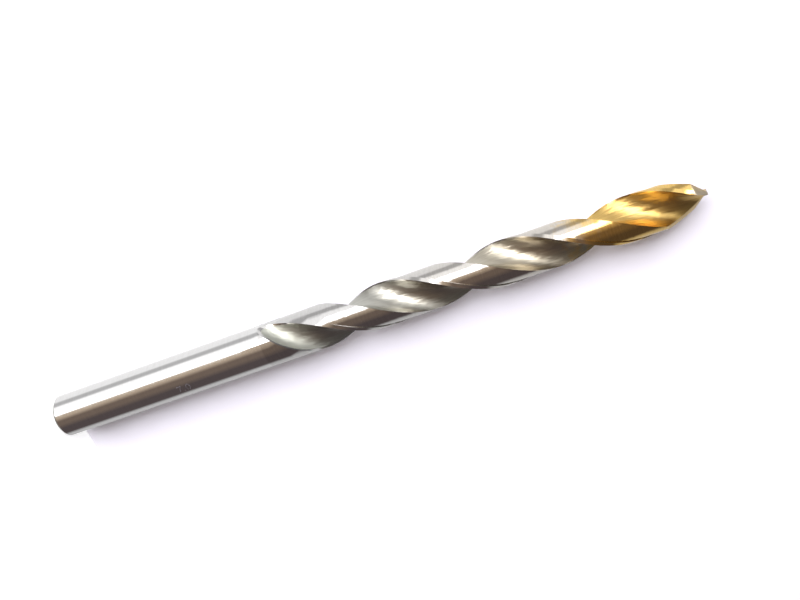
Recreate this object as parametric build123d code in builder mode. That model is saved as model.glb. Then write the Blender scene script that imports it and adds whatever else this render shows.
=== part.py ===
"""Two-flute twist drill, 7 mm, jobber length, for metal.

The drill stands on its shank: the origin is the middle of the shank's end
face, and +Z runs along the axis to the point. All sizes are in millimetres
and all angles in degrees. It turns counter-clockwise, seen from the point.
"""
from build123d import *
from math import asin, ceil, cos, degrees, pi, radians, sin, sqrt, tan
import os

# --- driving dimensions ---------------------------------------------------
drill_diameter = 7.0
shank_diameter = 6.94
shank_length = 34.0
overall_length = 109.0
flute_length = 71.4
helix_angle = 29.7

web_at_point = 0.95
web_at_shank = 2.5
opening_at_point = 106.0    # flute's share of the circle, from lip corner to heel
opening_at_shank = 101.0
wheel_radius = 52.0         # grinding wheel that rises out of the flute at the shank end
wheel_way = 32.0            # direction in which it rises, from the lip corner

margin_width = 0.7          # strip along the leading edge that keeps the full diameter
body_clearance = 0.16       # depth of the land behind the margin
clearance_length = 60.0     # how far behind the point that clearance reaches
clearance_ramp = 3.0

point_angle = 118.0
lip_relief = 13.0           # tilt of the flank about its lip
heel_slope = 65.0           # slope of the second face, which takes the heel off behind the flank
heel_turn = 8.0             # how far its level line is turned back from the lip
heel_setback = 0.25         # its inner edge passes the axis at this distance
heel_sweep = 20.0           # and leans this far across the face, to clear the whole heel

shank_chamfer = 0.5
section_spacing = 3.0       # distance between the profiles that the cutters are lofted through

# --- values that follow ---------------------------------------------------
radius = drill_diameter / 2
lead = pi * drill_diameter / tan(radians(helix_angle))
half_point = radians(point_angle / 2)
cutter_reach = radius * 1.25
flute_start = overall_length - flute_length
body_length = overall_length - shank_length
clearance_start = overall_length - clearance_length
past_point = drill_diameter / 4

# The two flanks meet in the chisel edge, at the top of the drill. Each lip lies
# half a web in front of the axis, so the lips would meet a little higher.
flank_rise = tan(radians(lip_relief)) / sin(half_point)
lip_peak = overall_length + flank_rise * web_at_point / 2
corner_height = lip_peak - sqrt(radius**2 - (web_at_point / 2) ** 2) / tan(half_point)


def polar(r, angle):
    """Point of a sketch at radius r and polar angle."""
    return Vector(r * cos(radians(angle)), r * sin(radians(angle)))


def profile_plane(z):
    """Plane across the axis at height z, turned as far as the flutes have turned there."""
    turn = 360 * (z - corner_height) / lead
    return Plane.XY.offset(z).rotated((0, 0, turn))


def profile_heights(bottom):
    """Even heights from past the point down to bottom."""
    top = overall_length + past_point
    count = ceil((top - bottom) / section_spacing)
    return [top - (top - bottom) * i / count for i in range(count + 1)]


def along_flute(at_point, at_shank, z):
    """Value at height z of a size that changes steadily along the flutes."""
    return at_point + (at_shank - at_point) * (overall_length - z) / flute_length


def rake_angle(r, web):
    """Polar angle of the rake face at radius r, for a web of that half-thickness.

    The face meets the flank in a straight lip: each point of the lip is carried
    down its own helix to the plane of the lip's outer corner.
    """
    rise = (sqrt(radius**2 - web**2) - sqrt(r**2 - web**2)) / tan(half_point)
    return degrees(asin(web / r)) - 360 * rise / lead


def wheel_lift(z):
    """How far the grinding wheel has risen out of the flute at height z."""
    depth = radius - web_at_shank / 2
    along_helix = cos(radians(helix_angle))
    run_out = sqrt(2 * wheel_radius * depth - depth**2)
    past = run_out - (z - flute_start) / along_helix
    return wheel_radius - sqrt(wheel_radius**2 - past**2) if past > 0 else 0.0


def land_radius(z):
    """Radius of the land behind its margin: relieved, and clear of the drill past its start."""
    climb = max(0.0, 1 - (z - clearance_start) / clearance_ramp)
    return radius - body_clearance * (1 - climb)


# --- cutter for one flute and the relieved land beyond its heel -----------
with BuildPart() as flute_cutter:
    for z in profile_heights(flute_start - 2 * past_point):
        web = along_flute(web_at_point, web_at_shank, z) / 2
        corner_angle = rake_angle(radius, web)
        heel_angle = corner_angle + along_flute(opening_at_point, opening_at_shank, z)
        margin_angle = corner_angle + 180 - degrees(margin_width / radius)
        lift = polar(wheel_lift(z), corner_angle + wheel_way)
        root = web * 1.1
        rake_radii = [cutter_reach] + [root + (radius - root) * (1 - i / 4) ** 2 for i in range(5)]
        with BuildSketch(profile_plane(z)):
            with BuildLine():
                rake = Spline([polar(r, rake_angle(r, web)) + lift for r in rake_radii])
                heel_chord = polar(radius, heel_angle) + lift - rake @ 1
                bend = (rake % 1).get_angle(heel_chord)
                heel_radius = heel_chord.length / (2 * sin(radians(bend)))
                past_corner = degrees((land_radius(z) - radius) / heel_radius)
                heel = JernArc(rake @ 1, rake % 1, heel_radius, -2 * bend - past_corner)
                mid_land = polar(land_radius(z), (heel_angle + margin_angle) / 2) + lift / 2
                land = ThreePointArc(heel @ 1, mid_land, polar(land_radius(z), margin_angle))
                step = Line(land @ 1, polar(land_radius(z) + radius / 2, margin_angle))
                ThreePointArc(step @ 1, polar(3 * radius, corner_angle + 90) + lift, rake @ 0)
            make_face()
    loft()

# --- cutter for one land's two faces at the point -------------------------
flank_turn = Location((0, 0, 0), (lip_relief, 0, 0))
flank_place = Location((0, web_at_point / 2, lip_peak), (0, 90 - point_angle / 2, 0)) * flank_turn
heel_face = Location((heel_setback, 0, 0), (heel_slope, 0, 0)) * Location((0, 0, 0), (0, 0, -heel_sweep))
heel_place = Location((0, 0, overall_length), (0, 0, -heel_turn)) * heel_face

with BuildPart() as point_cutter:
    with Locations(flank_place):
        Box(*3 * [3 * drill_diameter], align=(Align.CENTER, Align.CENTER, Align.MIN))
    with Locations(heel_place):
        Box(*3 * [3 * drill_diameter], align=(Align.MIN, Align.CENTER, Align.MIN))

# --- the drill ------------------------------------------------------------
with BuildPart() as drill_bit:
    Cylinder(shank_diameter / 2, shank_length, align=(Align.CENTER, Align.CENTER, Align.MIN))
    chamfer(drill_bit.edges().sort_by(Axis.Z)[0], shank_chamfer)
    with Locations((0, 0, shank_length)):
        Cone(shank_diameter / 2, radius, body_length, align=(Align.CENTER, Align.CENTER, Align.MIN))
    with PolarLocations(0, 2):
        add(flute_cutter.part, mode=Mode.SUBTRACT)
    with PolarLocations(0, 2):
        add(point_cutter.part, mode=Mode.SUBTRACT)

drill_bit.part.label = "drill_bit"
os.makedirs("parts", exist_ok=True)
export_step(drill_bit.part, "parts/drill_bit.step")
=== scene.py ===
"""Twist drill, standing on its shank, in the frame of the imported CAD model."""
import bmesh
import bpy
import math
from mathutils import Matrix, Vector


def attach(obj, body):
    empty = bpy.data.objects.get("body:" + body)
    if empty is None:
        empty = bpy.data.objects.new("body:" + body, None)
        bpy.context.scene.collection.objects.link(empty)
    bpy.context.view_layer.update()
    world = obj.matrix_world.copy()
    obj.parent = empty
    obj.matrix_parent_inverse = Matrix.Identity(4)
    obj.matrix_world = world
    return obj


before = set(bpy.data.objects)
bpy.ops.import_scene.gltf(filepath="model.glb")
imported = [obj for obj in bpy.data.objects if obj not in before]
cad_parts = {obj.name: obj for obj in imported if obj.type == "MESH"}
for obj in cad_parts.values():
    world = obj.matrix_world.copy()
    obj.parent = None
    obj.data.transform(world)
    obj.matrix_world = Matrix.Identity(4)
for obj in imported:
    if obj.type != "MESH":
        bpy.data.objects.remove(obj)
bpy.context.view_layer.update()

scene = bpy.context.scene
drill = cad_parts["drill_bit"]

# sizes of the drill, in metres
RADIUS = 0.0035
SHANK_RADIUS = 0.00347
LENGTH = 0.109
FLUTE_START = 0.0376
HELIX_ANGLE = 29.7
LEAD = 2 * math.pi * RADIUS / math.tan(math.radians(HELIX_ANGLE))

UP = Vector((0, 0, 1))


# --- node helpers ---------------------------------------------------------
class Nodes:
    """Short calls for building one node tree."""

    def __init__(self, tree):
        self.tree = tree
        tree.nodes.clear()

    def add(self, kind, **settings):
        node = self.tree.nodes.new(kind)
        for key, value in settings.items():
            setattr(node, key, value)
        return node

    def put(self, socket, value):
        """Link a socket to an output, or give it a number or a colour."""
        if isinstance(value, bpy.types.NodeSocket):
            self.tree.links.new(value, socket)
        elif value is not None:
            socket.default_value = value

    def output(self, kind, shader):
        self.put(self.add(kind).inputs[0], shader)

    def split(self, vector):
        node = self.add("ShaderNodeSeparateXYZ")
        self.put(node.inputs[0], vector)
        return node.outputs

    def combine(self, x, y, z):
        node = self.add("ShaderNodeCombineXYZ")
        for socket, value in zip(node.inputs, (x, y, z)):
            self.put(socket, value)
        return node.outputs[0]

    def math(self, operation, a, b=None, c=None):
        node = self.add("ShaderNodeMath", operation=operation)
        for socket, value in zip(node.inputs, (a, b, c)):
            self.put(socket, value)
        return node.outputs[0]

    def plus(self, a, b):
        return self.math("ADD", a, b)

    def times(self, a, b):
        return self.math("MULTIPLY", a, b)

    def swing(self, noise, amount):
        """The noise centred on zero, over a span of amount."""
        return self.times(self.math("SUBTRACT", noise, 0.5), amount)

    def ramp(self, value, edge, start=0.0, end=1.0):
        """start below the edge, end above it, smooth across it."""
        node = self.add("ShaderNodeMapRange", interpolation_type="SMOOTHSTEP")
        self.put(node.inputs["Value"], value)
        names = ("From Min", "From Max", "To Min", "To Max")
        for name, number in zip(names, (*edge, start, end)):
            node.inputs[name].default_value = number
        return node.outputs["Result"]

    def noise(self, vector, scale, detail, roughness):
        node = self.add("ShaderNodeTexNoise")
        self.put(node.inputs["Vector"], vector)
        node.inputs["Scale"].default_value = scale
        node.inputs["Detail"].default_value = detail
        node.inputs["Roughness"].default_value = roughness
        return node.outputs["Fac"]

    def mix(self, factor, a, b):
        """Colour between a and b."""
        node = self.add("ShaderNodeMix", data_type="RGBA")
        for index, value in ((0, factor), (6, a), (7, b)):
            self.put(node.inputs[index], value)
        return node.outputs[2]

    def blend(self, factor, a, b):
        """Number between a and b."""
        node = self.add("ShaderNodeMix", data_type="FLOAT")
        for index, value in ((0, factor), (2, a), (3, b)):
            self.put(node.inputs[index], value)
        return node.outputs[0]

    def mix_shader(self, factor, a, b):
        node = self.add("ShaderNodeMixShader")
        for socket, value in zip(node.inputs, (factor, a, b)):
            self.put(socket, value)
        return node.outputs[0]

    def bump(self, height, strength, distance, normal=None):
        node = self.add("ShaderNodeBump")
        node.inputs["Distance"].default_value = distance
        self.put(node.inputs["Strength"], strength)
        self.put(node.inputs["Height"], height)
        self.put(node.inputs["Normal"], normal)
        return node.outputs[0]


def new_material(name):
    material = bpy.data.materials.new(name)
    material.use_nodes = True
    return material, Nodes(material.node_tree)


def link(name, data):
    """New object in the scene."""
    item = bpy.data.objects.new(name, data)
    scene.collection.objects.link(item)
    return item


# --- steel ----------------------------------------------------------------
# where the finish changes: (start, end) of each change, in metres
FLUTE_EDGE = (RADIUS - 0.00030, RADIUS - 0.00022)            # distance from the axis
SHANK_EDGE = (FLUTE_START - 0.0002, FLUTE_START + 0.0002)    # height
RUN_OUT_EDGE = (FLUTE_START + 0.006, FLUTE_START + 0.0105)   # height
FULL_COAT_EDGE = (0.085, 0.0925)                             # height
THIN_COAT_EDGE = (0.046, 0.094)                              # height
FLANK_EDGE = (LENGTH - 0.0004, LENGTH + 0.0001)              # height on the axis

FLANK_SLOPE = 0.62          # fall of the point over its radius
COAT_RAGGED = 0.012         # metres that the edge of the coating wanders
THIN_COAT = 0.26            # share of gold in the thin coating at its thickest
THIN_COAT_ON_LAND = 0.55    # share of that on the lands

# colours at the dark and at the light side of the grinding lines
SHANK_COLOURS = ((0.66, 0.65, 0.645, 1), (0.82, 0.815, 0.82, 1))
LAND_COLOURS = ((0.53, 0.52, 0.51, 1), (0.70, 0.69, 0.69, 1))
FLUTE_COLOURS = ((0.40, 0.395, 0.37, 1), (0.61, 0.61, 0.57, 1))
GOLD_COLOURS = ((0.60, 0.375, 0.10, 1), (0.92, 0.65, 0.25, 1))
RUN_OUT_COLOUR = (0.62, 0.63, 0.56, 1)
FLANK_COLOUR = (0.50, 0.45, 0.38, 1)

# share of its own colour that the run-out and the flank show
RUN_OUT_SHARE = 0.7
FLANK_SHARE = 0.8

LAND_ROUGHNESS = 0.11
FLUTE_ROUGHNESS = 0.36
LINES_ROUGHNESS = 0.10      # more or less of it from line to line
PATCHES_ROUGHNESS = 0.10    # more or less of it from patch to patch
FLANK_ROUGHNESS = 0.18      # added on the flank
RUN_OUT_ROUGHNESS = 0.14    # added on the run-out

# squeeze of the noise along the lines: the smaller, the longer the lines
ROUND_SQUEEZE = 0.06
LONG_SQUEEZE = 0.035
WAVE_SQUEEZE = 0.3

WAVE_HEIGHT = 0.00017
WAVE_STRENGTH = 0.8
LINE_HEIGHT = 0.000004
LINE_STRENGTH = 0.35


def steel():
    """Ground steel, with a gold coating that covers the point and fades along the flutes."""
    material, n = new_material("tool_steel")
    place = n.add("ShaderNodeTexCoord").outputs["Object"]
    x, y, z = n.split(place)
    r = n.math("SQRT", n.plus(n.times(x, x), n.times(y, y)))

    # the section untwisted, so that marks along the flutes run straight
    twist = n.add("ShaderNodeVectorRotate", rotation_type="Z_AXIS")
    n.put(twist.inputs["Vector"], place)
    n.put(twist.inputs["Angle"], n.times(z, -2 * math.pi / LEAD))
    flat_x, flat_y, _ = n.split(twist.outputs[0])

    in_flute = n.ramp(r, FLUTE_EDGE, 1.0, 0.0)
    on_shank = n.ramp(z, SHANK_EDGE, 1.0, 0.0)
    run_out = n.times(in_flute, n.ramp(z, RUN_OUT_EDGE, 1.0, 0.0))
    on_flank = n.ramp(n.plus(z, n.times(r, FLANK_SLOPE)), FLANK_EDGE)

    # lines of the grinding wheels: round the shank and the lands, along the flutes
    around = n.combine(n.times(x, ROUND_SQUEEZE), n.times(y, ROUND_SQUEEZE), z)
    along = n.combine(flat_x, flat_y, n.times(z, LONG_SQUEEZE))
    round_lines = n.noise(around, 9000, 3.0, 0.65)
    long_lines = n.noise(along, 5200, 3.0, 0.6)
    lines = n.blend(in_flute, round_lines, long_lines)
    patches = n.noise(place, 420, 3.0, 0.55)

    # share of gold: full at the point, thin and fading toward the shank
    coat_height = n.plus(z, n.swing(patches, COAT_RAGGED))
    full_coat = n.ramp(coat_height, FULL_COAT_EDGE)
    thin_coat = n.times(n.ramp(coat_height, THIN_COAT_EDGE, 0.0, THIN_COAT),
                        n.blend(in_flute, THIN_COAT_ON_LAND, 1.0))
    coat = n.math("MAXIMUM", full_coat, thin_coat)

    land = n.mix(on_shank, n.mix(lines, *LAND_COLOURS), n.mix(lines, *SHANK_COLOURS))
    silver = n.mix(in_flute, land, n.mix(lines, *FLUTE_COLOURS))
    silver = n.mix(n.times(run_out, RUN_OUT_SHARE), silver, RUN_OUT_COLOUR)
    colour = n.mix(coat, silver, n.mix(lines, *GOLD_COLOURS))
    colour = n.mix(n.times(on_flank, FLANK_SHARE), colour, FLANK_COLOUR)

    rough = n.blend(in_flute, LAND_ROUGHNESS, FLUTE_ROUGHNESS)
    rough = n.plus(rough, n.swing(lines, LINES_ROUGHNESS))
    rough = n.plus(rough, n.swing(patches, PATCHES_ROUGHNESS))
    rough = n.plus(rough, n.times(on_flank, FLANK_ROUGHNESS))
    rough = n.plus(rough, n.times(run_out, RUN_OUT_ROUGHNESS))

    # the flutes are a little wavy, with fine lines over all
    wave_place = n.combine(flat_x, flat_y, n.times(z, WAVE_SQUEEZE))
    waves = n.bump(n.noise(wave_place, 900, 2.0, 0.55),
                   n.times(in_flute, WAVE_STRENGTH), WAVE_HEIGHT)
    normal = n.bump(lines, LINE_STRENGTH, LINE_HEIGHT, waves)

    shader = n.add("ShaderNodeBsdfPrincipled")
    shader.inputs["Metallic"].default_value = 1.0
    n.put(shader.inputs["Base Color"], colour)
    n.put(shader.inputs["Roughness"], rough)
    n.put(shader.inputs["Normal"], normal)
    n.output("ShaderNodeOutputMaterial", shader.outputs[0])
    return material


drill.data.materials.clear()
drill.data.materials.append(steel())

# --- plain size figures, etched on the shank ------------------------------
FIGURES = "7.0"
FIGURES_LOW = 0.0218        # height at which they start
FIGURES_AZIMUTH = 56
FIGURES_HEIGHT = 0.0013
CAPITAL_HEIGHT = 0.70       # height of a figure at font size 1
FIGURES_PROUD = 0.000008    # metres that they lie off the steel
SLICE = 0.00012             # height of the strips that let the figures bend
SPARE_SLICES = 6            # strips past each edge, for what the font overhangs

ETCH_DARK = (0.06, 0.052, 0.052, 1)
ETCH_LIGHT = (0.13, 0.115, 0.115, 1)


def etch():
    """Matt grey-brown of an electrolytic mark, uneven where it bit less."""
    material, n = new_material("etch")
    grain = n.noise(n.add("ShaderNodeTexCoord").outputs["Object"], 6000, 3.0, 0.6)
    shader = n.add("ShaderNodeBsdfPrincipled")
    n.put(shader.inputs["Base Color"], n.mix(n.ramp(grain, (0.35, 0.65)), ETCH_DARK, ETCH_LIGHT))
    n.put(shader.inputs["Roughness"], n.ramp(grain, (0.3, 0.7), 0.75, 0.5))
    n.output("ShaderNodeOutputMaterial", shader.outputs[0])
    return material


def text_mesh(text, height):
    """Flat mesh of the text, along X, with figures of the given height."""
    curve = bpy.data.curves.new("figures", "FONT")
    curve.body = text
    curve.size = height / CAPITAL_HEIGHT
    curve.space_character = 1.08
    curve.resolution_u = 4
    source = link("figures", curve)
    bpy.context.view_layer.update()
    shaped = source.evaluated_get(bpy.context.evaluated_depsgraph_get())
    mesh = bpy.data.meshes.new_from_object(shaped)
    bpy.data.objects.remove(source)
    return mesh


def wrap_on_shank(mesh, low, azimuth, height):
    """Slice a flat mesh into strips and bend it round the shank, from height low up the axis."""
    shape = bmesh.new()
    shape.from_mesh(mesh)
    for i in range(-SPARE_SLICES, math.ceil(height / SLICE) + SPARE_SLICES):
        everything = shape.verts[:] + shape.edges[:] + shape.faces[:]
        bmesh.ops.bisect_plane(shape, geom=everything, plane_co=(0, i * SLICE, 0), plane_no=(0, 1, 0))
    reach = SHANK_RADIUS + FIGURES_PROUD
    for v in shape.verts:
        turn = math.radians(azimuth) - v.co.y / reach
        v.co = (reach * math.cos(turn), reach * math.sin(turn), low + v.co.x)
    shape.to_mesh(mesh)
    shape.free()


figures_mesh = text_mesh(FIGURES, FIGURES_HEIGHT)
wrap_on_shank(figures_mesh, FIGURES_LOW, FIGURES_AZIMUTH, FIGURES_HEIGHT)
figures = link("etched_figures", figures_mesh)
figures.data.materials.append(etch())
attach(figures, "root")


# --- stage ----------------------------------------------------------------
# In the photograph the drill lies on a white sheet. Here it stands, so the
# sheet stands behind it, and the camera is turned with it.
def level(azimuth):
    """Level direction at an angle round the drill, in degrees."""
    return Vector((math.cos(math.radians(azimuth)), math.sin(math.radians(azimuth)), 0))


def paper(name, glow, albedo, tint=(1, 1, 1), one_sided=False):
    """White paper that takes the shadow, with a little light of its own for the camera."""
    material, n = new_material(name)
    diffuse = n.add("ShaderNodeBsdfDiffuse")
    diffuse.inputs["Color"].default_value = (*albedo, 1)
    light = n.add("ShaderNodeEmission")
    light.inputs["Color"].default_value = (*tint, 1)
    seen = n.add("ShaderNodeLightPath").outputs["Is Camera Ray"]
    n.put(light.inputs["Strength"], n.times(seen, glow))
    both = n.add("ShaderNodeAddShader")
    n.put(both.inputs[0], diffuse.outputs[0])
    n.put(both.inputs[1], light.outputs[0])
    surface = both.outputs[0]
    if one_sided:
        clear = n.add("ShaderNodeBsdfTransparent").outputs[0]
        behind = n.add("ShaderNodeNewGeometry").outputs["Backfacing"]
        surface = n.mix_shader(behind, surface, clear)
    n.output("ShaderNodeOutputMaterial", surface)
    return material


def panel(name, middle, facing, width, height, up, material):
    """Flat rectangle whose front looks along facing, and which the steel doesn't mirror."""
    across = up.cross(facing).normalized()
    rise = facing.cross(across)
    corners = [middle + across * sx * width / 2 + rise * sy * height / 2
               for sx, sy in ((-1, -1), (1, -1), (1, 1), (-1, 1))]
    mesh = bpy.data.meshes.new(name)
    mesh.from_pydata([tuple(c) for c in corners], [], [(0, 1, 2, 3)])
    mesh.materials.append(material)
    item = link(name, mesh)
    item.visible_glossy = False
    return item


FLOOR_SIDE = 1.2
floor = panel("floor", Vector((0, 0, 0)), UP, FLOOR_SIDE, FLOOR_SIDE, Vector((0, 1, 0)),
              paper("floor_paper", 0.72, (0.60, 0.60, 0.60)))
floor.visible_shadow = False

SHEET_OUT = level(30.0)     # the way the front of the sheet looks
SHEET_GAP = 0.00005         # between the sheet and the drill
SHEET_WIDTH = 0.30
SHEET_HEIGHT = 0.36
SHEET_MIDDLE = SHEET_OUT * -(RADIUS + SHEET_GAP) + UP * 0.06
sheet = panel("sheet", SHEET_MIDDLE, SHEET_OUT, SHEET_WIDTH, SHEET_HEIGHT, UP,
              paper("sheet_paper", 0.06, (0.82, 0.81, 0.83), tint=(1, 0.88, 0.82), one_sided=True))

# --- light ----------------------------------------------------------------
CAMERA_AZIMUTH = 7.95
LAMP_WAY = level(CAMERA_AZIMUTH - 24)
LAMP_DISTANCE = 0.80
LAMP_LOW = -0.60
LAMP_HIGH = 0.70
LAMP_WIDTH = 0.52
LAMP_WATTS = 17.2
LAMP_COLOUR = (0.92, 0.91, 1.0)

lamp_data = bpy.data.lights.new("window", "AREA")
lamp_data.shape = "RECTANGLE"
lamp_data.size = LAMP_WIDTH
lamp_data.size_y = LAMP_HIGH - LAMP_LOW
lamp_data.energy = LAMP_WATTS
lamp_data.color = LAMP_COLOUR
lamp = link("window", lamp_data)
lamp.location = LAMP_WAY * LAMP_DISTANCE + UP * ((LAMP_LOW + LAMP_HIGH) / 2)
lamp.rotation_euler = (-LAMP_WAY).to_track_quat("-Z", "Y").to_euler()
lamp.visible_camera = False
lamp.visible_glossy = False

# The room that shows in the steel is a few plain surfaces, each with one colour:
# white paper, a grey window frame, a window with brighter sky in part of it, and a
# brown wall that gets darker away from the window, down to the paper in shadow.
PAPER = (1.1, 1.1, 1.1)
FRAME = (0.6, 0.6, 0.6)
WINDOW = (1.4, 1.4, 1.4)
SKY = (6.0, 6.0, 6.0)
WALL_LIT = (0.6, 0.48, 0.36)
WALL_DIM = (0.2, 0.15, 0.12)
WALL_DARK = (0.1, 0.08, 0.08)
PAPER_SHADE = (0.6, 0.6, 0.6)
GROUND = (0.2, 0.18, 0.16)
CEILING = (0.1, 0.1, 0.1)

# where each surface starts and ends, in degrees round the drill from the camera
ROOM = (
    (-180, -95, PAPER), (-85, -68, FRAME), (-58, -38, WINDOW), (-31, -16, SKY),
    (-4, 2, WALL_LIT), (20, 40, WALL_DIM), (65, 105, WALL_DARK), (125, 179, PAPER_SHADE),
)
ROOM_STRENGTH = 8.0
CEILING_SHARE = 0.90

# edges of the ground and the ceiling, in radians above the horizon, and of the
# sheet behind the drill, which hides the ceiling, in radians round the drill
GROUND_EDGE = (math.radians(-60), math.radians(-44))
CEILING_EDGE = (math.radians(12), math.radians(30))
SHEET_EDGE = (math.radians(125), math.radians(150))

BACKDROP = (1, 1, 1, 1)                 # what the camera sees past the sheet
SOFT_LIGHT = (0.21, 0.185, 0.19, 1)     # what lights the paper from all round


def dimmed(colour):
    """The colour over ROOM_STRENGTH, since a colour ramp holds nothing above 1."""
    return (*(c / ROOM_STRENGTH for c in colour), 1)


def fill_ramp(stops, surfaces):
    """A stop at the start and at the end of each surface."""
    while len(stops) > 1:
        stops.remove(stops[0])
    for start, end, colour in surfaces:
        for degrees in (start, end):
            place = (degrees + 180) / 360
            stop = stops[0] if place == 0 else stops.new(place)
            stop.position = place
            stop.color = dimmed(colour)


world = bpy.data.worlds.new("studio")
scene.world = world
world.use_nodes = True
w = Nodes(world.node_tree)
ray = w.add("ShaderNodeLightPath")
way_x, way_y, way_z = w.split(w.add("ShaderNodeTexCoord").outputs["Generated"])
toward_x, toward_y, _ = level(CAMERA_AZIMUTH)
ahead = w.plus(w.times(way_x, toward_x), w.times(way_y, toward_y))
aside = w.math("SUBTRACT", w.times(way_y, toward_x), w.times(way_x, toward_y))
angle = w.math("ARCTAN2", aside, ahead)
elevation = w.math("ARCSINE", way_z)

room = w.add("ShaderNodeValToRGB")
w.put(room.inputs[0], w.math("MULTIPLY_ADD", angle, 0.5 / math.pi, 0.5))
fill_ramp(room.color_ramp.elements, ROOM)
upper = w.mix(CEILING_SHARE, room.outputs[0], dimmed(CEILING))
off_sheet = w.ramp(w.math("ABSOLUTE", angle), SHEET_EDGE, 1.0, 0.0)
above = w.times(w.ramp(elevation, CEILING_EDGE), off_sheet)
room_colour = w.mix(above, room.outputs[0], upper)
room_colour = w.mix(w.ramp(elevation, GROUND_EDGE, 1.0, 0.0), room_colour, dimmed(GROUND))

mirrored_room = w.add("ShaderNodeBackground")
w.put(mirrored_room.inputs["Color"], room_colour)
mirrored_room.inputs["Strength"].default_value = ROOM_STRENGTH
open_sky = w.add("ShaderNodeBackground")
w.put(open_sky.inputs["Color"], w.mix(ray.outputs["Is Camera Ray"], SOFT_LIGHT, BACKDROP))
w.output("ShaderNodeOutputWorld", w.mix_shader(
    ray.outputs["Is Glossy Ray"], open_sky.outputs[0], mirrored_room.outputs[0]))

# --- camera ---------------------------------------------------------------
# It was fitted with the drill lying along X, and is turned to the standing frame.
FIT_PLACE = (88.813, -44.262, 145.237)    # millimetres
FIT_TURN = Vector((-0.260, 0.231, -0.305))    # axis, with the angle in radians as its length
FIT_FOCUS = 991.93                        # pixels
PHOTO_WIDTH = 800                         # pixels
SENSOR_WIDTH = 36                         # millimetres
STAND_TURN = Matrix.Rotation(math.radians(-99), 3, "Z")
IMAGE_AXES = Matrix(((1, 0, 0), (0, -1, 0), (0, 0, -1)))    # right, down and forward


def stand(v):
    """From the lying frame to the standing one."""
    return STAND_TURN @ Vector((v[1], v[2], v[0]))


fit = Matrix.Rotation(FIT_TURN.length, 3, FIT_TURN) @ IMAGE_AXES
right, down, forward = (stand(fit[i]) for i in range(3))
camera_data = bpy.data.cameras.new("camera")
camera_data.sensor_width = SENSOR_WIDTH
camera_data.lens = FIT_FOCUS / PHOTO_WIDTH * SENSOR_WIDTH
camera_data.clip_start = 0.005
camera = link("camera", camera_data)
camera_place = Matrix((right, -down, -forward)).transposed().to_4x4()
camera_place.translation = stand(FIT_PLACE) / 1000
camera.matrix_world = camera_place
scene.camera = camera

scene.view_settings.view_transform = "Standard"
